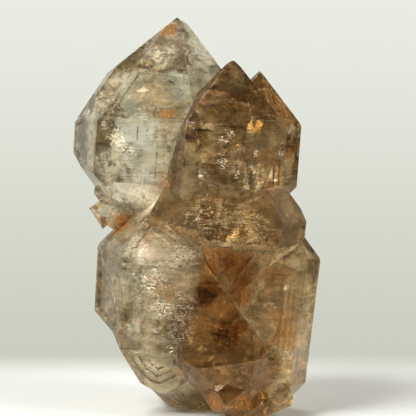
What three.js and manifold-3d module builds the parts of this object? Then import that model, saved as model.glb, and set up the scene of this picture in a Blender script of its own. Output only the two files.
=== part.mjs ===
// A cluster of skeletal smoky quartz, about 50 mm tall: stout six-sided crystals with a
// pyramid at each end, grown together side by side and one on another. They are one stone,
// so the crystals are worked out one by one and joined in a single solid.
// Lengths are in millimetres, angles in degrees. X runs to the right, Y away from the
// front, Z up. The origin is on the surface that the cluster rests on, below its middle.
import * as THREE from "three";
import { mergeVertices } from "three/addons/utils/BufferGeometryUtils.js";
import Module from "manifold-3d";

const wasm = await Module();
wasm.setup();

// The angles that every quartz crystal has.
const SIDES = 6;
const SIDE_STEP = 360 / SIDES;
const PYRAMID_SLOPE = 51.8;
const PYRAMID_RISE = 90 - PYRAMID_SLOPE;

// Growth hollows: how far a hollow's lid stands clear of the face it is sunk in.
const LID_CLEARANCE = 1.5;

const SMOKY_BROWN = 0xa98f6a;

// Each crystal: "at" is the middle of its prism. "lean" is how far the top leans to the
// right, "nod" how far to the front, and "turn" how far the front face looks to the right.
// "sides" are the distances from the long axis to the prism faces, the front one first and
// then round by the right. "top" and "foot" are the heights above and below the middle at
// which the pyramid faces, in the same order, reach the long axis.
// "chips" are flat breaks: which way they face (-90 left, 90 right), their rise above the
// level, and their distance from "at".
// "hollows" are sunk growth windows: the face they are in, the rim left standing round
// them, their depth, how many steps go down, and limits on the face in millimetres. Their
// "cuts" are slanting limits: an angle in the face, 0 to the right and 90 up, and a distance.
const clearTower = {
  at: [-3.7, 4.0, 33.8],
  lean: 3.6,
  nod: 2.2,
  turn: -15,
  sides: [9.8, 10.4, 10.4, 9.5, 11.4, 10.8],
  top: [16.1, 16.5, 17.2, 16.4, 17.6, 16.7],
  foot: [16.9, 15.6, 15.6, 15.6, 17.3, 17.4],
  chips: [
    [-90, 51.4, 11.9],
    [-90, 34.1, 11.5],
    [-90, 42.9, 10.6],
    [90, 56.3, 14.0],
    [-90, -35.9, 10.8],
  ],
  hollows: [
    { face: "top0", rim: 0.7, depth: 0.4, high: 9.3 },
    { face: "top0", rim: 0.9, depth: 0.9, cuts: [[171, 0.6], [97, 5.5], [-23, 0.6]] },
    { face: "top5", rim: 1.0, depth: 0.3, steps: 2 },
    { face: "prism0", rim: 0.8, depth: 0.5, high: 2.8, low: 1.0, left: -1.5, right: 2.3 },
    { face: "prism0", rim: 0.8, depth: 0.4, high: 1.1, low: -4.7, left: 1.2, right: 2.95 },
    { face: "prism5", rim: 0.5, depth: 0.25 },
    { face: "top3", rim: 1.6, depth: 0.5, steps: 3 },
    { face: "prism3", rim: 1.4, depth: 0.4, steps: 2 },
    { face: "prism4", rim: 1.2, depth: 0.4, steps: 2 },
    { face: "foot3", rim: 1.5, depth: 0.4, steps: 2 },
  ],
};

// A thinner twin grown along the back of the clear tower, in step with it. It shows as a
// strip down the tower's left shoulder.
const towerStrip = {
  at: [-3.7, 5.2, 33.8],
  lean: 3.6,
  nod: 2.2,
  turn: -15,
  sides: [9.0, 9.6, 9.8, 9.0, 11.2, 10.5],
  top: [15.4, 15.6, 16.4, 16.0, 20.4, 19.4],
  foot: [15.6, 14.8, 14.8, 14.8, 15.4, 15.8],
  chips: [
    [-90, 51.4, 11.9],
    [-90, 34.1, 11.5],
  ],
};

const smokyTower = {
  at: [3.6, -7.0, 33.2],
  lean: 3.8,
  nod: -2.2,
  turn: -13,
  sides: [6.1, 6.3, 6.5, 6.5, 7.0, 6.4],
  top: [11.4, 12.5, 11.9, 11.7, 11.9, 11.9],
  foot: [11.7, 12.1, 12.1, 12.1, 13.4, 13.4],
  chips: [
    [-90, 61.7, 9.8],
    [-90, 26.6, 6.55],
    [-90, 16.6, 6.35],
    [-90, 9.5, 6.8],
  ],
  hollows: [
    { face: "prism0", rim: 0.7, depth: 0.35, high: 3.0, cuts: [[-83, 0.7], [-158, 1.6]] },
    { face: "prism0", rim: 0.7, depth: 0.25, high: -1.2, low: -2.0, cuts: [[-150, 2.6], [24, 2.4]] },
    {
      face: "prism1",
      rim: 0.6,
      depth: 0.35,
      steps: 2,
      cuts: [[166, 0.9], [141, -0.5], [117, -0.8], [86, 0], [21, 3.6]],
    },
    { face: "top1", rim: 0.8, depth: 0.3 },
  ],
};

const smokyShoulder = {
  at: [7.0, -2.0, 33.8],
  lean: 4.4,
  nod: -0.9,
  turn: -11,
  sides: [6.5, 5.1, 5.2, 6.5, 6.0, 6.3],
  top: [9.6, 10.0, 9.6, 9.7, 9.5, 9.4],
  foot: [11.7, 11.1, 11.3, 11.7, 11.7, 11.7],
  hollows: [
    { face: "prism1", rim: 0.7, depth: 0.4, high: -1.5 },
    { face: "prism2", rim: 0.8, depth: 0.4, steps: 2 },
    { face: "top1", rim: 0.8, depth: 0.3, steps: 2 },
    { face: "top3", rim: 0.9, depth: 0.4, steps: 2 },
  ],
};

const middleCrystal = {
  at: [3.8, -4.6, 24.1],
  lean: 6.2,
  nod: 0,
  turn: 11,
  sides: [9.6, 8.9, 8.2, 9.4, 9.4, 9.4],
  top: [12.9, 12.7, 13.3, 12.9, 13.4, 13.4],
  foot: [13.6, 12.8, 12.6, 12.9, 13.1, 12.2],
  chips: [[-90, 31.2, 9.2]],
  hollows: [
    { face: "foot0", rim: 0.9, depth: 0.45, steps: 2 },
    { face: "foot5", rim: 0.9, depth: 0.3, steps: 2 },
    { face: "prism1", rim: 0.5, depth: 0.25 },
  ],
};

// The clear foot is in two parts: the prism stops at a ledge, and a narrower toe goes on
// below it to a broken tip.
const clearFoot = {
  at: [-2.7, -1.2, 15.9],
  lean: 3.2,
  nod: 2.6,
  turn: -13,
  sides: [9.4, 8.2, 9.0, 9.0, 9.6, 8.9],
  top: [15.8, 16.0, 16.0, 16.0, 16.3, 16.0],
  foot: [17.2, 16.1, 16.1, 16.1, 18.4, 18.0],
  chips: [[-90, -55.3, 8.7]],
  hollows: [
    { face: "top0", rim: 1.0, depth: 0.3, steps: 2 },
    { face: "prism0", rim: 0.7, depth: 0.25, high: 5.4, low: 1.6 },
    { face: "prism0", rim: 1.1, depth: 0.5, high: 1.9, low: -0.8 },
    { face: "prism0", rim: 0.8, depth: 0.3, high: -0.6, low: -3.0, left: -3.4 },
    { face: "prism0", rim: 1.4, depth: 0.55, high: -2.8, low: -4.4 },
    { face: "prism5", rim: 0.8, depth: 0.25 },
    { face: "top5", rim: 0.9, depth: 0.25 },
  ],
};

const clearToe = {
  at: [-2.7, -1.4, 15.9],
  lean: 3.2,
  nod: 2.6,
  turn: -13,
  sides: [8.8, 8.0, 8.6, 8.6, 9.0, 8.4],
  top: [15.0, 15.0, 15.0, 15.0, 15.0, 15.0],
  foot: [18.2, 17.4, 17.4, 17.4, 18.4, 18.4],
  chips: [
    [-90, -28.4, 9.5],
    [-90, -56.1, 12.2],
    [90, -61.1, 10.75],
    [-50, -60.0, 13.1],
  ],
  hollows: [
    {
      face: "foot0",
      rim: 0.75,
      depth: 0.4,
      steps: 4,
      cuts: [[-158, 6.9], [-130, 9.6], [-98, 11.6], [-60, 10.0], [-34, 7.5]],
    },
  ],
};

// The dark foot runs up under the middle crystal, so that its upper point doesn't show.
const darkFoot = {
  at: [3.4, -7.6, 9.0],
  lean: -7,
  nod: -7,
  turn: -14,
  sides: [5.8, 7.4, 6.4, 6.0, 6.6, 6.4],
  top: [18.0, 17.0, 15.0, 15.0, 15.0, 16.0],
  foot: [9.6, 11.4, 10.6, 10.6, 9.6, 9.6],
  chips: [
    [-40, -42, 6.0],
    [90, 35.5, 4.39],
    [90, 10.8, 5.0],
  ],
};

const amberFoot = {
  at: [9.6, -3.0, 12.0],
  lean: 6.4,
  nod: 0,
  turn: 8,
  sides: [5.0, 4.4, 4.7, 7.0, 7.0, 7.0],
  top: [13.3, 13.9, 13.6, 13.3, 13.3, 13.3],
  foot: [13.6, 13.2, 13.5, 13.2, 13.2, 13.2],
  chips: [
    [90, -6.9, 5.0],
    [90, -40.9, 8.35],
    [90, -71.0, 10.3],
    [90, 8.2, 7.0],
  ],
  hollows: [
    { face: "prism0", rim: 0.65, depth: 0.3, steps: 3 },
    { face: "prism2", rim: 0.9, depth: 0.35, steps: 2 },
  ],
};

// The core closes the back and carries the small flat spot that the cluster rests on.
const backCore = {
  at: [0.2, 5.0, 15.0],
  lean: -2,
  nod: -2,
  turn: 6,
  sides: [8.4, 9.4, 8.6, 7.6, 7.8, 8.0],
  top: [16.0, 16.0, 16.4, 15.6, 16.0, 16.0],
  foot: [20.0, 20.4, 20.0, 19.6, 19.8, 20.0],
  hollows: [
    { face: "prism3", rim: 1.2, depth: 0.45, steps: 3 },
    { face: "prism2", rim: 1.1, depth: 0.35, steps: 2 },
    { face: "prism4", rim: 1.1, depth: 0.35, steps: 2 },
    { face: "top3", rim: 1.0, depth: 0.4, steps: 2 },
  ],
};

const backShoulder = {
  at: [4.6, 7.6, 29.5],
  lean: 9,
  nod: -7,
  turn: 20,
  sides: [5.0, 5.2, 4.8, 4.6, 5.0, 5.2],
  top: [9.4, 9.4, 9.6, 9.0, 9.4, 9.4],
  foot: [9.4, 9.4, 9.4, 9.4, 9.4, 9.4],
  hollows: [{ face: "prism3", rim: 0.8, depth: 0.35, steps: 2 }],
};

const LARGE_CRYSTALS = [
  clearTower,
  towerStrip,
  smokyTower,
  smokyShoulder,
  middleCrystal,
  clearFoot,
  clearToe,
  darkFoot,
  amberFoot,
  backCore,
  backShoulder,
];

// Small crystals that sit in the crevices: size is the distance from axis to side.
const SMALL_CRYSTALS = [
  { at: [-11.7, 2.0, 25.3], size: 2.1, length: 2.6, lean: 10, turn: 10 },
  { at: [-12.2, 2.6, 27.8], size: 0.9, length: 2.2, lean: 4, turn: 25 },
  { at: [-9.8, 0.6, 24.4], size: 1.5, length: 3.2, lean: -20, turn: 0 },
  { at: [3.8, -9.6, 3.8], size: 2.6, length: 6.0, lean: -34, turn: 8 },
  { at: [6.6, -8.6, 2.4], size: 2.3, length: 5.2, lean: -26, turn: 20 },
  { at: [9.8, -6.8, 2.9], size: 2.0, length: 4.0, lean: 24, turn: -12 },
  { at: [-4.4, 10.2, 21.4], size: 2.6, length: 7.6, lean: -14, turn: 18 },
  { at: [-8.6, 6.8, 18.4], size: 2.2, length: 6.4, lean: -26, turn: 0 },
  { at: [9.6, 5.0, 21.8], size: 2.4, length: 6.6, lean: 20, turn: 28 },
];

// Pits where the small crystals of another growth have fallen out, given in the same way.
const PITS = [
  { at: [3.6, -11.2, 19.9], size: 1.3, length: 2.6, lean: 34, turn: 16 },
  { at: [5.6, -9.4, 17.6], size: 1.0, length: 3.0, lean: 52, turn: -8 },
];

const toRadians = THREE.MathUtils.degToRad;

// A unit vector along the compass angle "azimuth", 0 being the front and 90 the right, and
// tipped "rise" above the level.
function direction(azimuth, rise) {
  const a = toRadians(azimuth);
  const r = toRadians(rise);
  return new THREE.Vector3(Math.sin(a) * Math.cos(r), -Math.cos(a) * Math.cos(r), Math.sin(r));
}

// The rotation that stands a crystal in its place.
function stanceOf({ lean = 0, nod = 0 }) {
  const angles = new THREE.Euler(toRadians(nod), toRadians(lean), 0, "XYZ");
  return new THREE.Matrix4().makeRotationFromEuler(angles);
}

// A plane whose inner side is everything less than "distance" beyond "at".
function plane(normal, at, distance) {
  return { normal, reach: distance + normal.dot(new THREE.Vector3(...at)) };
}

// The faces of one crystal, by name: prism0 to prism5, top0 to top5 and foot0 to foot5.
function facesOf(crystal) {
  const { at, turn, sides, top, foot, chips = [] } = crystal;
  const stance = stanceOf(crystal);
  const faces = new Map();
  const drop = Math.sin(toRadians(PYRAMID_RISE));
  for (let k = 0; k < SIDES; k++) {
    const azimuth = turn + k * SIDE_STEP;
    const facing = (rise) => direction(azimuth, rise).applyMatrix4(stance);
    faces.set(`prism${k}`, plane(facing(0), at, sides[k]));
    faces.set(`top${k}`, plane(facing(PYRAMID_RISE), at, top[k] * drop));
    faces.set(`foot${k}`, plane(facing(-PYRAMID_RISE), at, foot[k] * drop));
  }
  chips.forEach(([azimuth, rise, distance], n) => {
    faces.set(`chip${n}`, plane(direction(azimuth, rise), at, distance));
  });
  return faces;
}

// The point where three planes meet, or null if two of them are parallel.
function meetingPoint(a, b, c) {
  const bc = new THREE.Vector3().crossVectors(b.normal, c.normal);
  const ca = new THREE.Vector3().crossVectors(c.normal, a.normal);
  const ab = new THREE.Vector3().crossVectors(a.normal, b.normal);
  const volume = a.normal.dot(bc);
  if (Math.abs(volume) < 1e-6) return null;
  const sum = bc.multiplyScalar(a.reach).addScaledVector(ca, b.reach);
  return sum.addScaledVector(ab, c.reach).divideScalar(volume);
}

// The corners of the solid inside a set of planes, and which corners each plane holds.
const SAME_POINT = 2e-3;
function cornersInside(planes) {
  const corners = [];
  const held = planes.map(() => new Set());
  for (let i = 0; i < planes.length; i++)
    for (let j = i + 1; j < planes.length; j++)
      for (let k = j + 1; k < planes.length; k++) {
        const point = meetingPoint(planes[i], planes[j], planes[k]);
        if (!point) continue;
        if (planes.some(({ normal, reach }) => normal.dot(point) > reach + SAME_POINT / 2)) continue;
        const twin = corners.findIndex((corner) => corner.distanceTo(point) < SAME_POINT);
        const index = twin < 0 ? corners.push(point) - 1 : twin;
        for (const face of [i, j, k]) held[face].add(index);
      }
  return { corners, held };
}

// Puts the corners of one flat face in order round its middle, seen from outside.
function roundFace(indices, corners, normal) {
  const middle = new THREE.Vector3();
  for (const n of indices) middle.addScaledVector(corners[n], 1 / indices.length);
  const across = corners[indices[0]].clone().sub(middle).normalize();
  const up = new THREE.Vector3().crossVectors(normal, across);
  const angle = (n) => {
    const spoke = corners[n].clone().sub(middle);
    return Math.atan2(spoke.dot(up), spoke.dot(across));
  };
  return indices.sort((m, n) => angle(m) - angle(n));
}

// The closed solid inside a set of planes.
function solidInside(planes) {
  const { corners, held } = cornersInside(planes);
  const triangles = [];
  planes.forEach(({ normal }, face) => {
    if (held[face].size < 3) return;
    const ring = roundFace([...held[face]], corners, normal);
    for (let n = 1; n + 1 < ring.length; n++) triangles.push(ring[0], ring[n], ring[n + 1]);
  });
  const geometry = new THREE.BufferGeometry();
  const positions = corners.flatMap((corner) => corner.toArray());
  geometry.setAttribute("position", new THREE.Float32BufferAttribute(positions, 3));
  geometry.setIndex(triangles);
  return toManifold(geometry);
}

function toManifold(geometry) {
  const merged = mergeVertices(geometry, 1e-4);
  return new wasm.Manifold(
    new wasm.Mesh({
      numProp: 3,
      vertProperties: new Float32Array(merged.attributes.position.array),
      triVerts: new Uint32Array(merged.index.array),
    }),
  );
}

// The planes that bound a hollow sideways and up and down on its face.
function limitsOf(crystal, face, { left, right, low, high, cuts = [] }) {
  const stance = stanceOf(crystal);
  const azimuth = crystal.turn + Number(face.at(-1)) * SIDE_STEP;
  const limits = [];
  const add = (distance, compass, rise, sign) => {
    if (distance === undefined) return;
    limits.push(plane(direction(compass, rise).applyMatrix4(stance), crystal.at, sign * distance));
  };
  add(right, azimuth + 90, 0, 1);
  add(left, azimuth - 90, 0, -1);
  add(high, 0, 90, 1);
  add(low, 0, -90, -1);
  for (const [angle, distance] of cuts) {
    const normal = direction(azimuth + 90, 0).multiplyScalar(Math.cos(toRadians(angle)));
    normal.addScaledVector(direction(0, 90), Math.sin(toRadians(angle)));
    limits.push(plane(normal.applyMatrix4(stance), crystal.at, distance));
  }
  return limits;
}

// A wall square to a face, set in by "inset" from the line where another plane cuts it, or
// null if that plane never does.
function wallIn(face, other, inset) {
  const slant = face.normal.dot(other.normal);
  const normal = other.normal.clone().addScaledVector(face.normal, -slant);
  const length = normal.length();
  if (length < 0.01) return null;
  return { normal: normal.normalize(), reach: (other.reach - slant * face.reach) / length - inset };
}

// One level of a growth hollow, as the solid to take away.
function hollowLevel(crystal, faces, hollow, level) {
  const face = faces.get(hollow.face);
  const depth = hollow.depth * level;
  const lid = { normal: face.normal, reach: face.reach + LID_CLEARANCE };
  const floor = { normal: face.normal.clone().negate(), reach: depth - face.reach };
  const others = [...faces.values()].filter((other) => other !== face);
  const walls = others.map((other) => wallIn(face, other, hollow.rim * level));
  const limits = limitsOf(crystal, hollow.face, hollow);
  walls.push(...limits.map((limit) => wallIn(face, limit, hollow.rim * (level - 1))));
  return solidInside([lid, floor, ...walls.filter((wall) => wall !== null)]);
}

function largeCrystal(crystal) {
  const faces = facesOf(crystal);
  let solid = solidInside([...faces.values()]);
  for (const hollow of crystal.hollows ?? [])
    for (let level = 1; level <= (hollow.steps ?? 1); level++)
      solid = solid.subtract(hollowLevel(crystal, faces, hollow, level));
  return solid;
}

function smallCrystal({ at, size, length, lean, turn }) {
  const sides = Array(SIDES).fill(size);
  const ends = Array(SIDES).fill(length / 2 + size / 2);
  return largeCrystal({ at, lean, nod: 0, turn, sides, top: ends, foot: ends });
}

// Everything under the resting surface, to be cut away.
function belowGround() {
  const wide = 60;
  const down = 20;
  const slab = new THREE.BoxGeometry(wide, wide, down);
  slab.deleteAttribute("normal");
  slab.deleteAttribute("uv");
  slab.translate(0, 0, -down / 2);
  return toManifold(slab);
}

// The triangles of the outside of a solid. Where two crystals close over a growth hollow,
// what is left of it would be a bubble inside the stone, and this fills it.
function outerTriangles(vertexCount, triangles) {
  const leader = Array.from({ length: vertexCount }, (_, n) => n);
  const find = (n) => {
    while (leader[n] !== n) n = leader[n] = leader[leader[n]];
    return n;
  };
  for (let t = 0; t < triangles.length; t += 3) {
    leader[find(triangles[t + 1])] = find(triangles[t]);
    leader[find(triangles[t + 2])] = find(triangles[t]);
  }
  const shells = new Map();
  for (let t = 0; t < triangles.length; t += 3) {
    const shell = find(triangles[t]);
    if (!shells.has(shell)) shells.set(shell, []);
    shells.get(shell).push(...triangles.subarray(t, t + 3));
  }
  return [...shells.values()].reduce((best, shell) => (shell.length > best.length ? shell : best));
}

function meshOf(solid, name, colour) {
  const { numProp, numVert, vertProperties, triVerts } = solid.getMesh();
  const positions = new Float32Array(numVert * 3);
  for (let i = 0; i < numVert; i++)
    positions.set(vertProperties.subarray(i * numProp, i * numProp + 3), i * 3);
  const geometry = new THREE.BufferGeometry();
  geometry.setAttribute("position", new THREE.BufferAttribute(positions, 3));
  geometry.setIndex(outerTriangles(numVert, triVerts));
  const material = new THREE.MeshStandardMaterial({
    name: "smoky quartz",
    color: colour,
    roughness: 0.1,
    metalness: 0,
  });
  const mesh = new THREE.Mesh(geometry, material);
  mesh.name = name;
  return mesh;
}

const grown = [...LARGE_CRYSTALS.map(largeCrystal), ...SMALL_CRYSTALS.map(smallCrystal)];
const whole = grown.reduce((joined, next) => joined.add(next));
const pitted = PITS.map(smallCrystal).reduce((stone, pit) => stone.subtract(pit), whole);
const cluster = pitted.subtract(belowGround());
const clusterMesh = meshOf(cluster, "quartz_cluster", SMOKY_BROWN);

// Centres the cluster over the origin.
clusterMesh.geometry.computeBoundingBox();
const middle = clusterMesh.geometry.boundingBox.getCenter(new THREE.Vector3());
clusterMesh.geometry.translate(-middle.x, -middle.y, 0);

const group = new THREE.Group();
group.add(clusterMesh);

export default group;
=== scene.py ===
"""Dresses the quartz cluster: glassy crystal faces, growth lines, veils, iron stain and clay,
and a pale studio round it. Metres, in the same frame as the solid."""

import itertools
import math
import random
from types import SimpleNamespace

import bmesh
import bpy
import numpy as np
from mathutils import Euler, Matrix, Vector, noise
from mathutils.bvhtree import BVHTree
from mathutils.kdtree import KDTree


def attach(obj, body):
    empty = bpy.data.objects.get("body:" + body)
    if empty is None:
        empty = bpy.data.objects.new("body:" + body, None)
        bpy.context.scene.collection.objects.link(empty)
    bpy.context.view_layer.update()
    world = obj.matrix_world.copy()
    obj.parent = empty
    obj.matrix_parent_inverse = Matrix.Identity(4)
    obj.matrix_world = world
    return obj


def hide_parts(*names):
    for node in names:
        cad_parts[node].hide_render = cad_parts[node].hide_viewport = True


bl_info = {
    "name": "Smoky Quartz Cluster",
    "version": (1, 0, 0),
    "blender": (4, 5, 0),
    "location": "View3D > Sidebar > Quartz",
    "description": "Grows a dressed cluster of skeletal smoky quartz on its solid",
    "category": "Object",
}

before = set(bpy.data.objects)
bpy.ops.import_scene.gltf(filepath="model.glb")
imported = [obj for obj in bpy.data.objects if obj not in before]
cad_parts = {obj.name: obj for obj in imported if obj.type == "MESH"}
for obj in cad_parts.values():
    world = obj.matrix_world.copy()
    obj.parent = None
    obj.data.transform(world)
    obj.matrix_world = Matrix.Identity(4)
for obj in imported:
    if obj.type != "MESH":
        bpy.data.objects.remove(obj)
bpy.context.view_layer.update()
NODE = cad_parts["quartz_cluster"]
BODY = "root"
MM = 0.001
SHARP_ANGLE = math.radians(5)

# How high the uneven parts of a face stand, in millimetres.
UNEVEN = 0.09

# Quartz bends light by this much, and its pyramid faces rise this much from level.
QUARTZ_IOR = 1.544
PYRAMID_RISE = 38.2

# Light that glances off the brown stone keeps some of its brown.
WARM_SHEEN = (0.80, 0.62, 0.40, 1.0)

# What the whole depth of the stone takes from the light.
DEPTH_TONE = (0.735, 0.64, 0.45)
DEPTH_DENSITY = 32.0

# How wide the tints of two crystals blend, and how wide clay lies in a crevice, in millimetres.
SOFT_TINT = 0.8
CREVICE = 0.7

# The veils copy each crystal at these shares of its size, in faces of this many millimetres,
# and keep this far below the stone's surface.
VEIL_SHARES = (0.84, 0.60)
VEIL_EDGE = 1.1
VEIL_DEPTH = 0.25

# The solid is centred over the origin, and the crystals below are placed before that move.
CENTRING = Vector((-0.2, 0.0, 0.0))

# The toe repeats the clear foot crystal, so it gets no cracks or veils of its own.
REPEAT = "clear_toe"

# The smoky crystals, which hold more of the cracks.
CRACKED = ["smoky_tower", "smoky_shoulder", "middle", "dark_foot", "amber_foot"]

# The point that the lights face and the point that the camera faces, in metres.
MIDDLE = Vector((0, 0, 0.026))
LOOKED_AT = Vector((0.0016, 0, 0.0258))

# The floor, in metres, and where it fades out from the stone, in millimetres.
FLOOR_RADIUS = 0.26
FLOOR_FADE = (60, 28)

# The crystals as they stand in the solid, in millimetres and degrees: the middle of the
# prism, how far the top leans right and nods forward, the turn of the front face, the
# distance of each side from the axis, and the heights of the upper and lower pyramids.
# "tint" colours the mist, "glass" colours the clear quartz, and "haze" says how misty it is.
CRYSTALS = {
    "clear_tower": dict(
        at=(-3.7, 4.0, 33.8), lean=3.6, nod=2.2, turn=-15,
        side=(9.8, 10.4, 10.4, 9.5, 11.4, 10.8),
        top=(16.1, 16.5, 17.2, 16.4, 17.6, 16.7),
        foot=(16.9, 15.6, 15.6, 15.6, 17.3, 17.4),
        tint=(0.54, 0.48, 0.33), glass=(0.96, 0.905, 0.745), haze=0.35,
    ),
    "smoky_tower": dict(
        at=(3.6, -7.0, 33.2), lean=3.8, nod=-2.2, turn=-13,
        side=(6.1, 6.3, 6.5, 6.5, 7.0, 6.4),
        top=(11.4, 12.5, 11.9, 11.7, 11.9, 11.9),
        foot=(11.7, 12.1, 12.1, 12.1, 13.4, 13.4),
        tint=(0.27, 0.18, 0.08), glass=(0.55, 0.40, 0.20), haze=0.6,
    ),
    "smoky_shoulder": dict(
        at=(7.0, -2.0, 33.8), lean=4.4, nod=-0.9, turn=-11,
        side=(6.5, 5.1, 5.2, 6.5, 6.0, 6.3),
        top=(9.6, 10.0, 9.6, 9.7, 9.5, 9.4),
        foot=(11.7, 11.1, 11.3, 11.7, 11.7, 11.7),
        tint=(0.31, 0.20, 0.085), glass=(0.62, 0.45, 0.22), haze=0.6,
    ),
    "middle": dict(
        at=(3.8, -4.6, 24.1), lean=6.2, nod=0, turn=11,
        side=(9.6, 8.9, 8.2, 9.4, 9.4, 9.4),
        top=(12.9, 12.7, 13.3, 12.9, 13.4, 13.4),
        foot=(13.6, 12.8, 12.6, 12.9, 13.1, 12.2),
        tint=(0.24, 0.125, 0.038), glass=(0.61, 0.375, 0.14), haze=0.6,
    ),
    "clear_foot": dict(
        at=(-2.7, -1.2, 15.9), lean=3.2, nod=2.6, turn=-13,
        side=(9.4, 8.2, 9.0, 9.0, 9.6, 8.9),
        top=(15.8, 16, 16, 16, 16.3, 16),
        foot=(17.2, 16.1, 16.1, 16.1, 18.4, 18.0),
        tint=(0.56, 0.50, 0.35), glass=(0.97, 0.93, 0.77), haze=0.5,
    ),
    "clear_toe": dict(
        at=(-2.7, -1.4, 15.9), lean=3.2, nod=2.6, turn=-13,
        side=(8.8, 8.0, 8.6, 8.6, 9.0, 8.4),
        top=(15,) * 6,
        foot=(18.2, 17.4, 17.4, 17.4, 18.4, 18.4),
        tint=(0.46, 0.38, 0.24), glass=(0.93, 0.86, 0.68), haze=0.5,
    ),
    "dark_foot": dict(
        at=(3.4, -7.6, 9.0), lean=-7, nod=-7, turn=-14,
        side=(5.8, 7.4, 6.4, 6.0, 6.6, 6.4),
        top=(18, 17, 15, 15, 15, 16),
        foot=(9.6, 11.4, 10.6, 10.6, 9.6, 9.6),
        tint=(0.15, 0.058, 0.012), glass=(0.34, 0.15, 0.04), haze=0.65,
    ),
    "amber_foot": dict(
        at=(9.6, -3.0, 12.0), lean=6.4, nod=0, turn=8,
        side=(5.0, 4.4, 4.7, 7, 7, 7),
        top=(13.3, 13.9, 13.6, 13.3, 13.3, 13.3),
        foot=(13.6, 13.2, 13.5, 13.2, 13.2, 13.2),
        tint=(0.58, 0.38, 0.17), glass=(1.00, 0.78, 0.44), haze=0.65,
    ),
    "back_core": dict(
        at=(0.2, 5.0, 15.0), lean=-2, nod=-2, turn=6,
        side=(8.4, 9.4, 8.6, 7.6, 7.8, 8.0),
        top=(16, 16, 16.4, 15.6, 16, 16),
        foot=(20, 20.4, 20, 19.6, 19.8, 20),
        tint=(0.34, 0.26, 0.15), glass=(0.50, 0.38, 0.22), haze=0.55,
    ),
    "back_shoulder": dict(
        at=(4.6, 7.6, 29.5), lean=9, nod=-7, turn=20,
        side=(5.0, 5.2, 4.8, 4.6, 5.0, 5.2),
        top=(9.4, 9.4, 9.6, 9.0, 9.4, 9.4),
        foot=(9.4,) * 6,
        tint=(0.30, 0.21, 0.11), glass=(0.38, 0.26, 0.13), haze=0.55,
    ),
}

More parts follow.
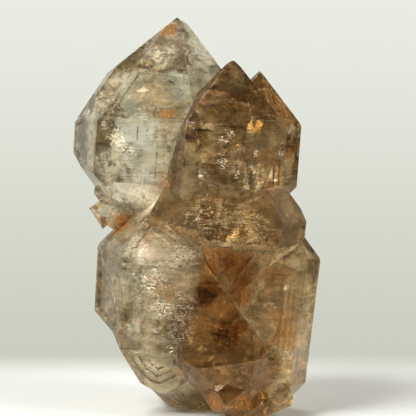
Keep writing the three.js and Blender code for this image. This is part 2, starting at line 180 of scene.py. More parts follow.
# Where each mark sits on the stone, with its radius, in millimetres: rusty clay, golden stain
# with a painted highlight band, dark smoke, grey shade, painted glints, milky mist with a
# painted glow, painted bright patches, flow lines and rusty rims.
MARKS = {
    "clay": (
        ((-3.4, 2.0, 48.3), 1.5), ((-3.5, -4.9, 37.4), 1.5), ((-3.3, -5.2, 35.8), 1.3),
        ((-9.3, -1.1, 23.7), 2.0), ((-12.1, 0.0, 23.6), 1.4), ((2.0, -13.6, 21.0), 1.9),
        ((3.6, -13.0, 21.3), 1.5), ((2.6, -12.2, 19.3), 1.7), ((4.9, -11.1, 20.0), 2.4),
        ((5.6, -8.9, 15.6), 2.0), ((5.6, -8.8, 17.3), 1.8), ((10.6, -5.3, 38.2), 1.2),
        ((12.0, -5.4, 33.0), 1.0), ((2.5, -11.9, 2.2), 1.8), ((5.8, -11.6, 2.6), 1.6),
        ((8.2, -9.8, 4.4), 1.4), ((12.6, -4.0, 27.5), 1.3),
    ),
    # The first six places are a painted highlight band along the dark foot's lower edge; the
    # rest are golden stain.
    "gold_and_highlight": (
        ((-0.4, -12.6, 10.4), 0.9), ((0.8, -13.0, 9.4), 0.8), ((2.2, -13.4, 8.0), 0.9),
        ((3.6, -13.4, 6.6), 0.8), ((5.4, -12.6, 5.2), 0.9), ((7.2, -11.8, 4.0), 0.9),
        ((-3.2, -5.4, 36.6), 2.2), ((-5.7, -0.6, 44.3), 3.4), ((-4.4, -3.9, 40.2), 2.2),
        ((-2.1, -10.7, 7.2), 1.5), ((-5.4, -3.0, 40.4), 2.8), ((-3.4, -5.0, 38.2), 2.0),
        ((0.6, -12.2, 33.6), 2.2), ((9.0, -10.0, 30.7), 2.4), ((-11.9, 0.5, 25.0), 4.0),
        ((8.6, -8.6, 16.5), 2.4),
    ),
    "dusk": (
        ((1.2, -10.2, 41.5), 3.2), ((3.3, -9.3, 43.6), 2.6), ((0.6, -9.8, 39.6), 2.0),
        ((-0.8, -12.4, 37.0), 2.3), ((-0.5, -11.4, 38.8), 1.8), ((-1.7, -10.8, 33.8), 1.8),
        ((0.0, -12.0, 35.4), 1.6), ((1.4, -14.5, 26.3), 1.2), ((0.4, -12.5, 35.6), 1.8),
        ((1.6, -12.8, 16.4), 2.2), ((4.3, -13.3, 11.8), 2.6), ((11.9, -5.0, 34.1), 1.8),
        ((6.4, -12.0, 20.5), 1.6),
    ),
    "shade": (
        ((-5.6, -3.0, 41.0), 3.6), ((-4.4, -3.8, 39.2), 2.6), ((-3.0, -5.0, 38.5), 2.2),
        ((-12.4, 0.7, 15.3), 4.0), ((-12.4, 0.7, 11.3), 3.0), ((-1.6, -11.0, 8.8), 2.4),
        ((-2.4, -10.4, 6.2), 2.2), ((-9.0, -3.0, 30.0), 2.0), ((-3.4, -10.5, 11.6), 2.4),
    ),
    "glint": (
        ((-9.6, -4.6, 34.8), 1.7), ((-8.4, -5.4, 33.2), 1.3), ((-6.9, -4.3, 28.2), 1.8),
        ((-5.6, -4.6, 27.2), 1.6), ((3.3, -13.6, 35.2), 0.9), ((4.3, -13.4, 35.9), 0.7),
        ((3.2, -13.7, 33.6), 0.8), ((5.6, -13.3, 34.2), 0.8), ((3.4, -13.8, 32.4), 0.9),
        ((5.4, -13.4, 31.0), 1.0), ((6.8, -13.0, 31.9), 0.8), ((10.2, -9.0, 33.6), 1.2),
        ((-5.2, -10.0, 17.6), 2.4), ((-4.2, -10.5, 14.0), 1.8), ((-7.0, -8.6, 21.6), 1.8),
        ((-5.4, -7.0, 6.6), 1.4), ((0.2, -15.0, 25.7), 0.6), ((1.0, -15.0, 24.7), 0.7),
        ((8.6, -9.6, 22.0), 1.2), ((7.4, -12.6, 33.6), 0.8), ((1.0, -13.0, 31.0), 0.9),
        ((2.6, -14.4, 27.6), 0.9), ((-3.0, -10.2, 24.0), 1.0), ((-8.0, -6.4, 18.6), 1.2),
        ((-3.0, -11.0, 9.0), 1.0), ((9.6, -8.2, 14.0), 1.0), ((11.4, -8.4, 8.0), 1.2),
    ),
    "milk": (
        ((-9.8, -0.6, 41.6), 3.0), ((-11.4, -1.3, 39.4), 2.4), ((-4.0, -0.6, 45.8), 2.4),
        ((-6.9, -4.5, 27.6), 3.2), ((-4.8, -4.6, 26.2), 1.8), ((-6.0, -9.0, 20.4), 2.4),
        ((-4.4, -9.8, 18.6), 2.0), ((-5.6, -7.2, 5.6), 2.4), ((-3.6, -9.6, 4.4), 1.8),
        ((-13.3, -0.9, 36.0), 3.2), ((-13.0, -1.0, 32.6), 2.6), ((-10.4, -2.8, 28.4), 2.8),
        ((-10.2, -4.2, 32.0), 2.4),
    ),
    "glow": (
        ((-6.9, -4.5, 27.4), 2.8), ((-5.2, -4.8, 26.4), 1.8), ((-6.2, -8.8, 20.4), 1.8),
        ((-5.2, -7.6, 5.4), 1.4), ((-9.4, -4.6, 34.6), 1.2),
    ),
    "flow": (
        ((1.2, -14.0, 24.6), 4.6), ((-2.4, -10.6, 22.4), 4.0), ((5.6, -13.8, 24.6), 4.4),
        ((-6.0, -8.0, 15.6), 3.4), ((-4.0, -10.0, 12.0), 2.4), ((2.4, -12.2, 28.6), 2.6),
        ((-2.0, -11.4, 11.4), 2.6), ((-1.8, -11.8, 14.6), 2.6), ((4.0, -13.6, 32.6), 2.0),
    ),
    "rust": (
        ((9.0, -10.0, 30.7), 3.2), ((10.4, -5.6, 38.6), 3.6), ((12.0, -8.0, 12.0), 4.6),
        ((10.0, -8.4, 18.4), 2.6), ((5.2, -11.0, 18.6), 3.0),
    ),
}


class StoneColours(bpy.types.PropertyGroup):
    """Colours of the crystal and of what is in it."""

    # Also the colour of the painted highlight band along the dark foot's lower edge.
    gold_and_highlight: bpy.props.FloatVectorProperty(
        name="Gold stain", description="Faint stain in the clear crystals", subtype="COLOR",
        size=3, min=0, max=1, default=(0.52, 0.33, 0.10))
    clay: bpy.props.FloatVectorProperty(
        name="Iron clay", description="Rusty clay in the crevices", subtype="COLOR",
        size=3, min=0, max=1, default=(0.43, 0.18, 0.042))


class StoneSizes(bpy.types.PropertyGroup):
    """Sizes of the fine detail."""

    mesh: bpy.props.FloatProperty(
        name="Mesh", description="Longest edge of the stone's mesh", subtype="DISTANCE",
        unit="LENGTH", min=0.0002, max=0.005, default=0.0007)
    cracks: bpy.props.IntProperty(
        name="Cracks", description="How many small cracks glitter inside",
        min=0, max=3000, default=1400)
    seed: bpy.props.IntProperty(
        name="Crack seed", description="Picks where the small cracks fall", default=11)


class Studio(bpy.types.PropertyGroup):
    """The room round the stone."""

    distance: bpy.props.FloatProperty(
        name="Camera distance", description="From the camera to the middle of the stone",
        subtype="DISTANCE", unit="LENGTH", min=0.1, max=2, default=0.42)
    elevation: bpy.props.FloatProperty(
        name="Camera elevation", description="Angle of the camera above the level",
        subtype="ANGLE", unit="ROTATION", default=math.radians(4.5))
    view_height: bpy.props.FloatProperty(
        name="View height", description="Height of the picture at the stone",
        subtype="DISTANCE", unit="LENGTH", default=0.05279)


class Wire:
    """An output socket that can be added, multiplied and so on, which makes the nodes."""

    def __init__(self, recipe, socket):
        self.recipe = recipe
        self.socket = socket

    def _math(self, operation, *others, swap=False):
        values = [self, *others][::-1] if swap else [self, *others]
        if self.socket.type in {"VECTOR", "RGBA"}:
            values = [v if isinstance(v, (Wire, tuple)) else (v, v, v) for v in values]
            return self.recipe.node("ShaderNodeVectorMath", {"operation": operation}, values)
        return self.recipe.node("ShaderNodeMath", {"operation": operation}, values)

    def __add__(self, other):
        return self._math("ADD", other)

    __radd__ = __add__

    def __sub__(self, other):
        return self._math("SUBTRACT", other)

    def __rsub__(self, other):
        return self._math("SUBTRACT", other, swap=True)

    def __mul__(self, other):
        return self._math("MULTIPLY", other)

    def __pow__(self, other):
        return self._math("POWER", other)

    def most(self, other):
        return self._math("MAXIMUM", other)

    def size(self):
        return self._math("ABSOLUTE")

    def rise(self, low, high):
        """0 below low, 1 above high, and smooth between; low may be above high."""
        return self.recipe.node(
            "ShaderNodeMapRange", {"interpolation_type": "SMOOTHSTEP"},
            {"Value": self, "From Min": low, "From Max": high, "To Min": 0.0, "To Max": 1.0})


class Recipe:
    """The node tree of a material or world, built from expressions."""

    def __init__(self, owner):
        owner.use_nodes = True
        self.tree = owner.node_tree
        self.tree.nodes.clear()

    def node(self, kind, settings=None, sockets=None, out=0):
        """Makes a node with its settings and sockets, and gives one of its outputs."""
        made = self.tree.nodes.new(kind)
        for name, value in (settings or {}).items():
            setattr(made, name, value)
        pairs = sockets.items() if isinstance(sockets, dict) else enumerate(sockets or ())
        for key, value in pairs:
            socket = made.inputs[key]
            if isinstance(value, Wire):
                self.tree.links.new(value.socket, socket)
            elif socket.type == "RGBA" and len(value) == 3:
                socket.default_value = (*value, 1.0)
            else:
                socket.default_value = value
        if not made.outputs:
            return None
        return Wire(self, made.outputs[out])

    def place(self):
        """The point on the piece, in millimetres."""
        return self.node("ShaderNodeTexCoord", out="Object") * 1000.0

    def parts(self, vector):
        """The three numbers of a vector."""
        made = self.node("ShaderNodeSeparateXYZ", None, [vector]).socket.node
        return [Wire(self, socket) for socket in made.outputs]

    def attribute(self, name, out="Fac"):
        """A number or a colour stored on the mesh."""
        return self.node("ShaderNodeAttribute", {"attribute_name": name}, out=out)

    def noise(self, place, scale=1.0, detail=3.0, rough=0.55, warp=0.0, stretch=None):
        """Cloud noise about 0.5, scale in repeats a millimetre."""
        if stretch:
            place = place * stretch
        return self.node(
            "ShaderNodeTexNoise", {"noise_dimensions": "3D"},
            {"Vector": place, "Scale": scale, "Detail": detail, "Roughness": rough,
             "Distortion": warp},
            out="Fac")

    def blend(self, factor, first, second):
        """The first colour where factor is 0, and the second where it is 1."""
        return self.node(
            "ShaderNodeMix", {"data_type": "RGBA"}, {0: factor, 6: first, 7: second}, out=2)

    def bump(self, height, strength, distance):
        """A normal that leans as if the surface rose by the height times the distance."""
        sockets = {"Height": height, "Strength": strength, "Distance": distance}
        return self.node("ShaderNodeBump", None, sockets)

    def finish(self, surface, volume=None):
        """Ends the tree with what the surface, and the space inside it, look like."""
        sockets = {"Surface": surface}
        if volume:
            sockets["Volume"] = volume
        self.node("ShaderNodeOutputMaterial", None, sockets)


def crystal_planes(crystal):
    """Normals and distances from the origin of a crystal's 18 faces, in millimetres."""
    stance = Euler((math.radians(crystal["nod"]), 0, 0)).to_matrix() @ \
        Euler((0, math.radians(crystal["lean"]), 0)).to_matrix()
    at = Vector(crystal["at"]) + CENTRING
    slant = math.sin(math.radians(PYRAMID_RISE))
    normals, reaches = [], []
    for k in range(6):
        azimuth = math.radians(crystal["turn"] + 60 * k)
        for rise, distance in (
            (0.0, crystal["side"][k]),
            (PYRAMID_RISE, crystal["top"][k] * slant),
            (-PYRAMID_RISE, crystal["foot"][k] * slant),
        ):
            up, level = math.sin(math.radians(rise)), math.cos(math.radians(rise))
            facing = Vector((math.sin(azimuth) * level, -math.cos(azimuth) * level, up))
            normal = stance @ facing
            normals.append(normal)
            reaches.append(distance + normal.dot(at))
    return np.array(normals), np.array(reaches)


def depth_in(crystal, points):
    """How far each point, in millimetres, is outside a crystal; below 0 is inside."""
    normals, reaches = crystal_planes(crystal)
    return (points @ normals.T - reaches).max(axis=1)


def new_piece(name, mesh, material, stands_for):
    """Adds a piece that rides the stone's body and stands for nodes of the solid."""
    piece = bpy.data.objects.new(name, mesh)
    bpy.context.scene.collection.objects.link(piece)
    mesh.materials.clear()
    mesh.materials.append(material)
    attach(piece, BODY)
    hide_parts(*stands_for)


def smooth(value, low, high):
    """0 below low, 1 above high, and smooth between, for an array."""
    t = np.clip((value - low) / (high - low), 0, 1)
    return t * t * (3 - 2 * t)


def store(mesh, name, values, domain="POINT", kind="FLOAT"):
    """Keeps one number, or one colour, for each corner or face of a mesh."""
    layer = mesh.attributes.new(name, kind, domain)
    field = "color" if kind == "FLOAT_COLOR" else "value"
    layer.data.foreach_set(field, np.asarray(values, dtype=np.float32).ravel())


def cut_small(grid, longest, rounds):
    """Halves the edges of a mesh until none is longer than this."""
    for _ in range(rounds):
        long_edges = [edge for edge in grid.edges if edge.calc_length() > longest]
        if not long_edges:
            break
        bmesh.ops.subdivide_edges(grid, edges=long_edges, cuts=1)
        bmesh.ops.triangulate(grid, faces=grid.faces)
    grid.normal_update()


def stone_mesh(longest):
    """The solid's mesh with its faces cut small, slightly uneven between crisp edges."""
    grid = bmesh.new()
    grid.from_mesh(NODE.data)
    grid.transform(NODE.matrix_world)
    bmesh.ops.remove_doubles(grid, verts=grid.verts, dist=1e-6)
    cut_small(grid, longest, 8)
    ridge = []
    for edge in grid.edges:
        crisp = len(edge.link_faces) != 2 or edge.calc_face_angle(0.0) > SHARP_ANGLE
        edge.smooth = not crisp
        if crisp:
            first, last = (v.co for v in edge.verts)
            ridge.extend(first.lerp(last, t / 3) for t in range(3))
    for face in grid.faces:
        face.smooth = True
    tree = KDTree(len(ridge))
    for index, point in enumerate(ridge):
        tree.insert(point, index)
    tree.balance()
    rim = []
    for vertex in grid.verts:
        from_edge = tree.find(vertex.co)[2] / MM
        rim.append(from_edge)
        near = vertex.co / MM
        swell = noise.fractal(Vector((near.x * 0.3, near.y * 0.3, near.z * 0.75)), 0.8, 2.0, 4)
        height = UNEVEN * swell * float(smooth(from_edge, 0.15, 1.3))
        vertex.co += vertex.normal * height * MM
        vertex.co.z = max(vertex.co.z, 0.0)
    mesh = bpy.data.meshes.new("quartz_stone")
    grid.to_mesh(mesh)
    grid.free()
    store(mesh, "rim", rim)
    return mesh


def mark_tones(mesh):
    """Stores the tints, the mist, the marks, and which way the faces look."""
    points = np.empty(len(mesh.vertices) * 3)
    mesh.vertices.foreach_get("co", points)
    points = points.reshape(-1, 3) / MM
    names = list(CRYSTALS)
    gaps = np.abs(np.stack([depth_in(CRYSTALS[n], points) for n in names], axis=1))
    share = np.exp(-(((gaps - gaps.min(axis=1, keepdims=True)) / SOFT_TINT) ** 2))
    share /= share.sum(axis=1, keepdims=True)
    for tone in ("tint", "glass"):
        tones = share @ np.array([(*CRYSTALS[n][tone], 1.0) for n in names])
        store(mesh, tone, tones, kind="FLOAT_COLOR")
    store(mesh, "haze", share @ np.array([CRYSTALS[n]["haze"] for n in names]))
    store(mesh, "crevice", np.exp(-((np.sort(gaps, axis=1)[:, 1] / CREVICE) ** 2)))
    for mark, places in MARKS.items():
        reach = [np.linalg.norm(points - at, axis=1) / radius for at, radius in places]
        store(mesh, mark, np.min(reach, axis=0))
    facing = np.empty(len(mesh.polygons) * 3)
    mesh.polygons.foreach_get("normal", facing)
    rise = facing.reshape(-1, 3)[:, 2]
    store(mesh, "prism", smooth(-np.abs(rise), -0.35, -0.2), "FACE")
    store(mesh, "under", smooth(-rise, 0.2, 0.5), "FACE")


def spread(r, mark, ragged):
    """1 at each place of a mark, fading with a ragged border to 0."""
    return (r.attribute(mark) + ragged).rise(1.15, 0.55)


def stone_fields(r):
    """What varies over the stone: tones kept on the mesh, then noise from broad to fine."""
    f = SimpleNamespace()
    f.tint, f.pure = r.attribute("tint", "Color"), r.attribute("glass", "Color")
    f.haze, f.crevice, f.rim, f.prism, f.under = (
        r.attribute(name) for name in ("haze", "crevice", "rim", "prism", "under"))
    f.inside = r.node("ShaderNodeNewGeometry", out="Backfacing")
    place = r.place()
    _, _, f.height = r.parts(place)
    f.patch = r.noise(place, 0.24, 4, 0.55, 0.6)
    f.broad = r.noise(place, 0.4, 2, 0.5, 0.6)
    f.flow = r.noise(place, 0.42, 7, 0.62, 0.9, (0.55, 0.55, 2.0))
    f.threads = (r.noise(place, 0.5, 5, 0.66, 2.0, (0.6, 0.6, 2.2)) - 0.5).size()
    f.steps = r.noise(place, 1.0, 3, 0.5, 0.15, (0.18, 0.18, 2.8))
    f.grain = r.noise(place, 1.2, 6, 0.70, 0.4)
    f.sparks = r.noise(place, 2.2, 6, 0.80, 1.4, (0.9, 0.9, 1.9))
    f.fine = r.noise(place, 3.4, 5, 0.75, 0.2)
    return f


def add_marks(r, f):
    """The marks on the stone, each a number from 0 to 1."""
    ragged = (f.grain - 0.5) * 1.6 + (f.fine - 0.5) * 0.8
    drift = f.patch - 0.5
    flowing = spread(r, "flow", ragged * 0.5)

    # Golden stain, and a painted highlight band along the dark foot's lower edge.
    f.gold_and_highlight = spread(r, "gold_and_highlight", ragged) * f.grain.rise(0.38, 0.62)
    f.dusk = spread(r, "dusk", ragged * 0.7 + drift * 1.8)
    f.shade = spread(r, "shade", ragged * 0.5)
    # Milky mist in the quartz, which is also a painted glow where light shines through the
    # stone.
    f.milk = spread(r, "milk", ragged * 0.8 + drift * 1.6) * (0.4 + f.grain.rise(0.4, 0.6) * 0.6)
    # Painted highlight: lighter mist along the crisp edges of the faces.
    f.worn = f.rim.rise(0.16, 0.02) * f.grain.rise(0.46, 0.62)

    # Painted glints and bright patches: near-white mist that stands in for light caught by
    # cracks and light shining through.
    glow = spread(r, "glow", ragged) * (f.grain.rise(0.36, 0.6) * 0.45 + 0.32)
    f.glint = (f.sparks + spread(r, "glint", ragged * 0.9) * 0.145).rise(0.665, 0.72).most(glow)
    # Painted sparkles: small bright points in the flowing parts of the misty crystals.
    sparkle_dots = (f.sparks * 0.5 + f.fine * 0.5).rise(0.575, 0.61)
    f.flecks = sparkle_dots * f.flow.rise(0.46, 0.56) * (f.haze + flowing * 0.4)
    f.streaks = f.threads.rise(0.030, 0.008) * f.grain.rise(0.42, 0.50) * flowing
    f.hairs = (f.flow - 0.5).size().rise(0.016, 0.004) * f.grain.rise(0.56, 0.46) * flowing

    lumps = spread(r, "clay", ragged) * (f.grain + f.fine).rise(0.74, 0.94)
    seams = f.crevice * f.patch.rise(0.45, 0.62) * f.grain.rise(0.40, 0.60)
    rust = spread(r, "rust", ragged * 0.5) * f.rim.rise(0.42, 0.10) * f.grain.rise(0.36, 0.5)
    f.clay = lumps.most(seams).most(rust * 0.85)


def mist_colour(r, f, colours):
    """The colour of the mist, the stains and the clay, with the painted glints, sparkles, edge
    highlights and underside colour, from the lowest layer to the top.
    """
    tint = f.tint
    murk = tint * (f.flow.rise(0.34, 0.66) * 1.2 + 0.3) * (f.grain.rise(0.3, 0.7) * 1.5 + 0.35)
    murk = r.blend(f.patch.rise(0.45, 0.62) * 0.4, murk, murk * (1.2, 0.84, 0.55))
    # Golden stain and the painted highlight band.
    murk = r.blend(f.gold_and_highlight * 0.8, murk, tuple(colours.gold_and_highlight))
    murk = r.blend(f.dusk * 0.85, murk, murk * (0.32, 0.23, 0.15))
    murk = r.blend(f.grain.rise(0.40, 0.34) * 0.85, murk, murk * (0.16, 0.11, 0.07))
    murk = r.blend(f.grain.rise(0.58, 0.66) * f.flow.rise(0.42, 0.6), murk, tint ** 0.5)
    murk = r.blend(f.hairs * 0.9, murk, murk * (0.22, 0.15, 0.10))
    murk = r.blend(f.streaks, murk, tint ** 0.32 * (1.0, 0.90, 0.72))
    # Painted highlight along the crisp edges.
    murk = r.blend(f.worn, murk, tint ** 0.35)
    murk = r.blend(f.shade * 0.5, murk, murk * (0.55, 0.52, 0.48))
    # Painted reflection: faces that look downward get their own mist colour, and more mist in
    # mist_cover, in place of the floor's bright reflection in them.
    foot = r.blend(f.grain.rise(0.42, 0.58), tint * 1.2, tint ** 0.5 * (1.0, 0.84, 0.6))
    murk = r.blend(f.under * 0.8, murk, foot)
    # Milky mist, whitish, and at the brightest places a painted glow of light shining through.
    white = r.blend(f.grain.rise(0.36, 0.62), tint ** 0.5, (0.82, 0.71, 0.46))
    murk = r.blend(f.milk, murk, white)
    # Painted sparkles: small light, warm points in the mist.
    murk = r.blend(f.flecks, murk, tint ** 0.3 * (1.0, 0.92, 0.76))
    # Painted glints: near-white mist where the stone would catch the light.
    murk = r.blend(f.glint, murk, (0.84, 0.76, 0.58))
    rusty = r.blend(f.height.rise(32, 46), tuple(colours.clay), (0.37, 0.20, 0.06))
    return r.blend(f.clay, murk, r.blend(f.fine.rise(0.4, 0.6), (0.15, 0.05, 0.008), rusty))


def mist_light(r, f):
    """Painted light: the faint glow of the glints, milky patches, sparkles, streaks and stains,
    which stands in for light from behind.
    """
    # Painted glow of the golden stain, its highlight band and the clay.
    stain = r.blend(f.gold_and_highlight * 0.10, (0, 0, 0), (0.8, 0.5, 0.16))
    stain = r.blend(f.clay * 0.10, stain, (0.58, 0.20, 0.035))
    bright = f.glint.most(f.milk * 0.35).most(f.flecks * 0.3).most(f.streaks * 0.1)
    return r.blend(bright, stain, (0.9, 0.76, 0.52))


def mist_cover(f):
    """How much the mist, the stains, the clay and the painted glints, sparkles, edge highlights
    and undersides hide the clear quartz, 0 to 1.
    """
    banks = (f.patch * 0.5 + f.flow * 0.5).rise(0.62 - f.haze * 0.2, 0.72 - f.haze * 0.2)
    clouds = (f.grain * 0.4 + f.flow * 0.3 + f.fine * 0.3).rise(0.42, 0.58)
    cover = banks * clouds * (f.haze * 0.5 + 0.15)
    for mark, share in (
        (f.clay, 0.9), (f.gold_and_highlight, 0.6), (f.dusk, 0.86), (f.worn, 0.4), (f.milk, 0.42),
        (f.glint, 0.85), (f.flecks, 0.7), (f.streaks.most(f.hairs), 0.7),
        # Faces that look downward: more mist, painted over the floor's reflection in them.
        (f.under * f.haze * f.grain.rise(0.36, 0.6), 0.8),
    ):
        cover = cover.most(mark * share)
    return cover * (1 - f.inside * 0.75)


def quartz_colour(r, f):
    """The colour of the clear quartz: smoky towards the tips, dark at the dusky marks."""
    smoke = f.pure ** (f.height.rise(35, 43) * f.haze.rise(0.4, 0.58) * 2.4 + 1)
    bands = (f.patch * 0.5 + f.flow * 0.5).rise(0.42, 0.58) * 0.85 + 0.5
    hue = r.blend(f.dusk, smoke * bands, f.pure * 0.2)
    return r.blend(f.shade, hue, hue * (0.46, 0.38, 0.27))


def stone_material(colours):
    """Clear smoky quartz with mist, stains and clay mixed over it, and painted glints, sparkles
    and glow.
    """
    material = bpy.data.materials.new("smoky_quartz")
    r = Recipe(material)
    f = stone_fields(r)
    add_marks(r, f)
    lines = f.steps * f.prism * 0.6 + f.grain * f.haze * 0.35
    normal = r.bump(lines + f.inside * (f.broad * 2.5 + f.steps * 0.4), 0.35, 0.0003)
    quartz = r.node("ShaderNodeBsdfPrincipled", None, {
        "Base Color": quartz_colour(r, f),
        "Roughness": f.grain.rise(0.45, 0.75) * f.haze * 0.2 + 0.01,
        "IOR": QUARTZ_IOR,
        "Specular Tint": WARM_SHEEN,
        "Transmission Weight": 1.0,
        "Normal": normal,
    })
    mist = r.node("ShaderNodeBsdfPrincipled", None, {
        "Base Color": mist_colour(r, f, colours),
        "Roughness": f.clay * 0.5 + 0.12,
        "IOR": QUARTZ_IOR,
        "Specular IOR Level": 0.35,
        "Specular Tint": WARM_SHEEN,
        # Painted light: the mist's faint glow.
        "Emission Color": mist_light(r, f),
        "Emission Strength": 0.7,
        "Normal": normal,
    })
    depth = r.node("ShaderNodeVolumeAbsorption", None, {
        "Color": DEPTH_TONE,
        "Density": DEPTH_DENSITY,
    })
    r.finish(r.node("ShaderNodeMixShader", None, [mist_cover(f), quartz, mist]), depth)
    return material


class QUARTZ_OT_stone(bpy.types.Operator):
    """Makes the stone itself, with its glassy faces"""

    bl_idname = "quartz.stone"
    bl_label = "Stone"

    def execute(self, context):
        mesh = stone_mesh(context.scene.quartz_sizes.mesh)
        mark_tones(mesh)
        material = stone_material(context.scene.quartz_colours)
        new_piece("quartz_stone", mesh, material, ["quartz_cluster"])
        return {"FINISHED"}


def crack_material():
    """The clean sides of a crack inside the crystal."""
    material = bpy.data.materials.new("crack_gap")
    r = Recipe(material)
    ripple = r.noise(r.place(), 2.2, 4, 0.6, 0.5)
    r.finish(r.node("ShaderNodeBsdfPrincipled", None, {
        "Base Color": r.blend(ripple.rise(0.4, 0.6), (1.0, 0.99, 0.96), (0.95, 0.86, 0.72)),
        "Roughness": ripple.rise(0.45, 0.8) * 0.12,
        "IOR": QUARTZ_IOR,
        "Transmission Weight": 1.0,
        "Normal": r.bump(ripple, 0.4, 0.0001),
    }))
    return material


def solid_tree():
    """A search tree over the faces of the solid, in metres."""
    solid = bmesh.new()
    solid.from_mesh(NODE.data)
    solid.transform(NODE.matrix_world)
    tree = BVHTree.FromBMesh(solid)
    solid.free()
    return tree


def scatter(chance, width):
    """A random step of about this width in each direction."""
    return Vector([chance.gauss(0, width) for _ in range(3)])


def crack_spot(chance, crystal):
    """Where a crack may lie and how big it is, in millimetres.

    Half of the cracks are small and lie behind the painted glints, and the rest fill the
    crystal."""
    if chance.random() < 0.5:
        middle, radius = chance.choice(MARKS["glint"])
        at = Vector(middle) + scatter(chance, radius * 0.45) + Vector((0, radius * 0.5, 0))
        return at, 0.12 + min(0.5, chance.expovariate(6))
    reach = min(crystal["side"])
    offset = Vector([chance.gauss(0, reach * share) for share in (0.5, 0.5, 0.9)])
    at = Vector(crystal["at"]) + CENTRING + offset
    return at, min(2.2, 0.2 + chance.expovariate(2.4))


def add_flake(grid, chance, at, size, crystal):
    """A flat gap with a ragged outline, about level with a face of its crystal."""
    normals, _ = crystal_planes(crystal)
    along = (Vector(chance.choice(list(normals))) + scatter(chance, 0.35)).normalized()
    across = along.orthogonal().normalized()
    upward = along.cross(across)
    corners = chance.randint(6, 10)

    # From 0.03 to 0.06 millimetres thick, and from half as wide as it is long to round.
    thick = 0.03 + 0.03 * chance.random()
    slim = 0.45 + 0.55 * chance.random()
    rings = []
    for side in (-0.5, 0.5):
        ring = []
        for k in range(corners):
            angle = 2 * math.pi * k / corners
            right, up = math.cos(angle), math.sin(angle)
            reach = size * (0.65 + 0.35 * noise.noise(at + Vector((right, up, 0))))
            spot = at + (across * right + upward * up * slim) * reach
            ring.append(grid.verts.new((spot + along * thick * side) * MM))
        rings.append(ring)
    low, high = rings
    grid.faces.new(low)
    grid.faces.new(high[::-1])
    for k in range(corners):
        j = (k + 1) % corners
        grid.faces.new((low[k], high[k], high[j], low[j]))


def crack_mesh(count, seed):
    """Thin gaps inside the crystals, with sides that face into the gap."""
    chance = random.Random(seed)
    tree = solid_tree()
    grid = bmesh.new()
    names = [name for name in CRYSTALS if name != REPEAT] + CRACKED
    made = 0
    while made < count:
        crystal = CRYSTALS[chance.choice(names)]
        at, size = crack_spot(chance, crystal)
        near, facing, _, gap = tree.find_nearest(at * MM)
        if gap < (size + 0.12) * MM or (at * MM - near).dot(facing) > 0:
            continue
        add_flake(grid, chance, at, size, crystal)
        made += 1
    bmesh.ops.triangulate(grid, faces=grid.faces)
    mesh = bpy.data.meshes.new("quartz_cracks")
    grid.to_mesh(mesh)
    grid.free()
    return mesh


class QUARTZ_OT_cracks(bpy.types.Operator):
    """Scatters the small cracks that glitter inside the crystals"""

    bl_idname = "quartz.cracks"
    bl_label = "Cracks"

    def execute(self, context):
        sizes = context.scene.quartz_sizes
        mesh = crack_mesh(sizes.cracks, sizes.seed)
        new_piece("quartz_cracks", mesh, crack_material(), ["quartz_cluster"])
        return {"FINISHED"}


def crystal_corners(crystal):
    """The corners of a whole crystal, in millimetres."""
    normals, reaches = crystal_planes(crystal)
    corners = []
    for i, j, k in itertools.combinations(range(len(normals)), 3):
        three = normals[[i, j, k]]
        if abs(np.linalg.det(three)) < 1e-6:
            continue
        point = np.linalg.solve(three, reaches[[i, j, k]])
        if (normals @ point - reaches).max() < 1e-4:
            corners.append(tuple(point.round(3)))
    return [Vector(corner) for corner in sorted(set(corners))]


def add_sheet(whole, tree, crystal, share):
    """A wavy copy of a crystal at a share of its size, where it is inside the stone."""
    tone, murky = whole.verts.layers.float_color["tint"], whole.verts.layers.float["haze"]
    middle = Vector(crystal["at"]) + CENTRING
    grid = bmesh.new()
    for corner in crystal_corners(crystal):
        grid.verts.new(middle + (corner - middle) * share)
    bmesh.ops.convex_hull(grid, input=grid.verts)
    cut_small(grid, VEIL_EDGE, 6)
    moved = {}
    for vertex in grid.verts:
        swell = noise.fractal(vertex.co * 0.35 + Vector((share * 9, 0, 0)), 0.9, 2.0, 4)
        at = vertex.co + vertex.normal * swell * 0.9
        near, facing, _, gap = tree.find_nearest(at * MM)
        if (at * MM - near).dot(facing) < 0 and gap > VEIL_DEPTH * MM:
            twin = whole.verts.new(at * MM)
            twin[tone] = (*crystal["tint"], 1.0)
            twin[murky] = crystal["haze"]
            moved[vertex] = twin
    for face in grid.faces:
        ring = [moved[vertex] for vertex in face.verts if vertex in moved]
        if len(ring) == len(face.verts) and not whole.faces.get(ring):
            whole.faces.new(ring).smooth = True
    grid.free()


def veil_mesh():
    """Wavy sheets inside each crystal that follow the shapes it had as it grew."""
    tree = solid_tree()
    whole = bmesh.new()
    whole.verts.layers.float_color.new("tint")
    whole.verts.layers.float.new("haze")
    for name, crystal in CRYSTALS.items():
        if name != REPEAT:
            for share in VEIL_SHARES:
                add_sheet(whole, tree, crystal, share)
    stray = [vertex for vertex in whole.verts if not vertex.link_faces]
    bmesh.ops.delete(whole, geom=stray, context="VERTS")
    mesh = bpy.data.meshes.new("quartz_veils")
    whole.to_mesh(mesh)
    whole.free()
    return mesh


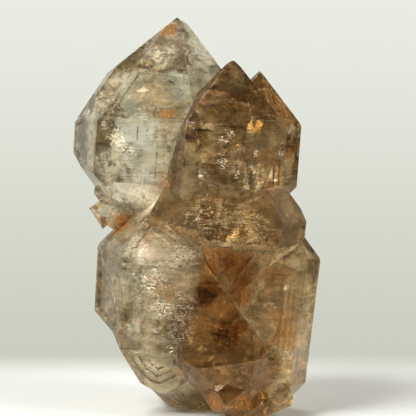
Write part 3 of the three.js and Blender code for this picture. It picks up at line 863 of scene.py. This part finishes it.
def veil_material():
    """Clouds of tiny bubbles and iron dust in the crystal, which glow faintly in their own
    colour as painted light.
    """
    material = bpy.data.materials.new("veil")
    r = Recipe(material)
    place = r.place()
    tint = r.attribute("tint", "Color")
    grain = r.noise(place, 1.5, 6, 0.72, 0.6, (0.8, 0.8, 1.7))
    flow = r.noise(place, 0.32, 6, 0.62, 1.0, (0.6, 0.6, 2.0))
    banks = r.noise(place, 0.16, 2, 0.5, 0.4)
    haze = r.attribute("haze")
    dust = r.blend(grain.rise(0.42, 0.58), tint * (0.28, 0.22, 0.16), tint * 1.9)
    dust = r.blend(flow.rise(0.54, 0.62) * grain.rise(0.46, 0.56), dust, tint ** 0.45)
    shown = banks.rise(0.60 - haze * 0.2, 0.68 - haze * 0.2) * flow.rise(0.42, 0.54)
    r.finish(r.node("ShaderNodeBsdfPrincipled", None, {
        "Base Color": dust,
        "Roughness": 0.35,
        # Painted light: the veils glow faintly in their own colour.
        "Emission Color": dust,
        "Emission Strength": 0.14,
        "Alpha": shown * grain.rise(0.44, 0.58) * 0.6,
    }))
    return material


class QUARTZ_OT_veils(bpy.types.Operator):
    """Hangs the cloudy veils inside the crystals"""

    bl_idname = "quartz.veils"
    bl_label = "Veils"

    def execute(self, context):
        new_piece("quartz_veils", veil_mesh(), veil_material(), ["quartz_cluster"])
        return {"FINISHED"}


def floor_material():
    """A pale matt sheet that fades out towards its rim."""
    material = bpy.data.materials.new("pale_floor")
    r = Recipe(material)
    place = r.place()
    oval = place * (0.25, 1.0, 1.0)
    pool = r.node("ShaderNodeVectorMath", {"operation": "LENGTH"}, [oval], out="Value")
    grit = r.noise(place, 0.8, 5, 0.6)
    shade = r.blend(grit, (0.745, 0.76, 0.725), (0.78, 0.795, 0.76))
    r.finish(r.node("ShaderNodeBsdfPrincipled", None, {
        "Base Color": shade,
        "Roughness": 0.7,
        "Alpha": pool.rise(*FLOOR_FADE),
    }))
    return material


def aim(thing, at, towards):
    """Puts a light or a camera at a point and turns it to another."""
    thing.location = at
    thing.rotation_euler = (towards - Vector(at)).to_track_quat("-Z", "Y").to_euler()


def soft_light(name, at, size, power):
    """A square or oblong light that faces the stone."""
    light = bpy.data.lights.new(name, "AREA")
    light.shape = "RECTANGLE"
    light.size, light.size_y = size
    light.energy = power
    lamp = bpy.data.objects.new(name, light)
    bpy.context.scene.collection.objects.link(lamp)
    aim(lamp, at, MIDDLE)


def lay_floor(scene):
    """The round floor under the stone."""
    grid = bmesh.new()
    bmesh.ops.create_circle(grid, cap_ends=True, segments=96, radius=FLOOR_RADIUS)
    mesh = bpy.data.meshes.new("pale_floor")
    grid.to_mesh(mesh)
    grid.free()
    mesh.materials.append(floor_material())
    floor = bpy.data.objects.new("pale_floor", mesh)
    scene.collection.objects.link(floor)


def paint_room(scene):
    """A pale room, darker above and behind the camera, and brown at the sides."""
    world = bpy.data.worlds.new("studio")
    scene.world = world
    r = Recipe(world)
    x, y, z = r.parts(r.node("ShaderNodeTexCoord", out="Generated"))
    room = r.blend(z.rise(-0.14, 0.0), (0.585, 0.60, 0.515), (0.83, 0.85, 0.78))
    room = r.blend(z.rise(0.35, 0.75), room, (0.25, 0.25, 0.24))
    behind = y.rise(0.1, -0.5) * z.rise(0.98, 0.6) * z.rise(-0.5, 0.0)
    room = r.blend(behind, room, (0.03, 0.028, 0.024))
    room = r.blend(x.rise(0.12, 0.45) * 0.9, room, (0.09, 0.072, 0.05))
    room = r.blend(x.rise(-0.12, -0.5) * 0.5, room, (0.34, 0.28, 0.18))
    background = r.node("ShaderNodeBackground", None, {"Color": room, "Strength": 1.0})
    r.node("ShaderNodeOutputWorld", None, {"Surface": background})


def set_camera(scene, studio):
    """The camera, as far off and as high as the photograph was taken."""
    camera = bpy.data.cameras.new("camera")
    camera.sensor_width = 36.0
    camera.lens = camera.sensor_width * studio.distance / studio.view_height
    camera.clip_start = 0.01
    camera.dof.use_dof = False
    eye = bpy.data.objects.new("camera", camera)
    scene.collection.objects.link(eye)
    rise = studio.elevation
    back = Vector((0, -math.cos(rise), math.sin(rise))) * studio.distance
    aim(eye, LOOKED_AT + back, LOOKED_AT)
    scene.camera = eye


class QUARTZ_OT_stage(bpy.types.Operator):
    """Sets up the floor, the soft light and the camera"""

    bl_idname = "quartz.stage"
    bl_label = "Stage"

    def execute(self, context):
        scene = context.scene
        lay_floor(scene)
        paint_room(scene)
        soft_light("key", (-0.8, -0.8, 1.15), (0.7, 0.7), 28.0)
        soft_light("fill", (0.95, -0.8, 0.75), (0.5, 0.7), 9.0)
        soft_light("glitter", (-0.30, 0.62, 0.75), (0.14, 0.14), 2.6)
        set_camera(scene, scene.quartz_studio)
        scene.view_settings.view_transform = "Standard"
        scene.cycles.transparent_max_bounces = 40
        return {"FINISHED"}


class QUARTZ_PT_panel(bpy.types.Panel):
    """Lists the pieces of the stone"""

    bl_label = "Quartz"
    bl_idname = "QUARTZ_PT_panel"
    bl_space_type = "VIEW_3D"
    bl_region_type = "UI"
    bl_category = "Quartz"

    def draw(self, context):
        layout = self.layout
        for name in GROUPS:
            group = getattr(context.scene, name)
            for field in group.__annotations__:
                layout.prop(group, field)
        for operator in OPERATORS:
            layout.operator(operator.bl_idname)


OPERATORS = (QUARTZ_OT_stone, QUARTZ_OT_cracks, QUARTZ_OT_veils, QUARTZ_OT_stage)
GROUPS = {"quartz_colours": StoneColours, "quartz_sizes": StoneSizes, "quartz_studio": Studio}
CLASSES = (*GROUPS.values(), *OPERATORS, QUARTZ_PT_panel)


def register():
    for cls in CLASSES:
        bpy.utils.register_class(cls)
    for name, group in GROUPS.items():
        setattr(bpy.types.Scene, name, bpy.props.PointerProperty(type=group))


def unregister():
    for name in GROUPS:
        delattr(bpy.types.Scene, name)
    for cls in reversed(CLASSES):
        bpy.utils.unregister_class(cls)


def main():
    """Registers the add-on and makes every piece."""
    register()
    bpy.ops.quartz.stone()
    bpy.ops.quartz.cracks()
    bpy.ops.quartz.veils()
    bpy.ops.quartz.stage()


if __name__ == "__main__":
    main()
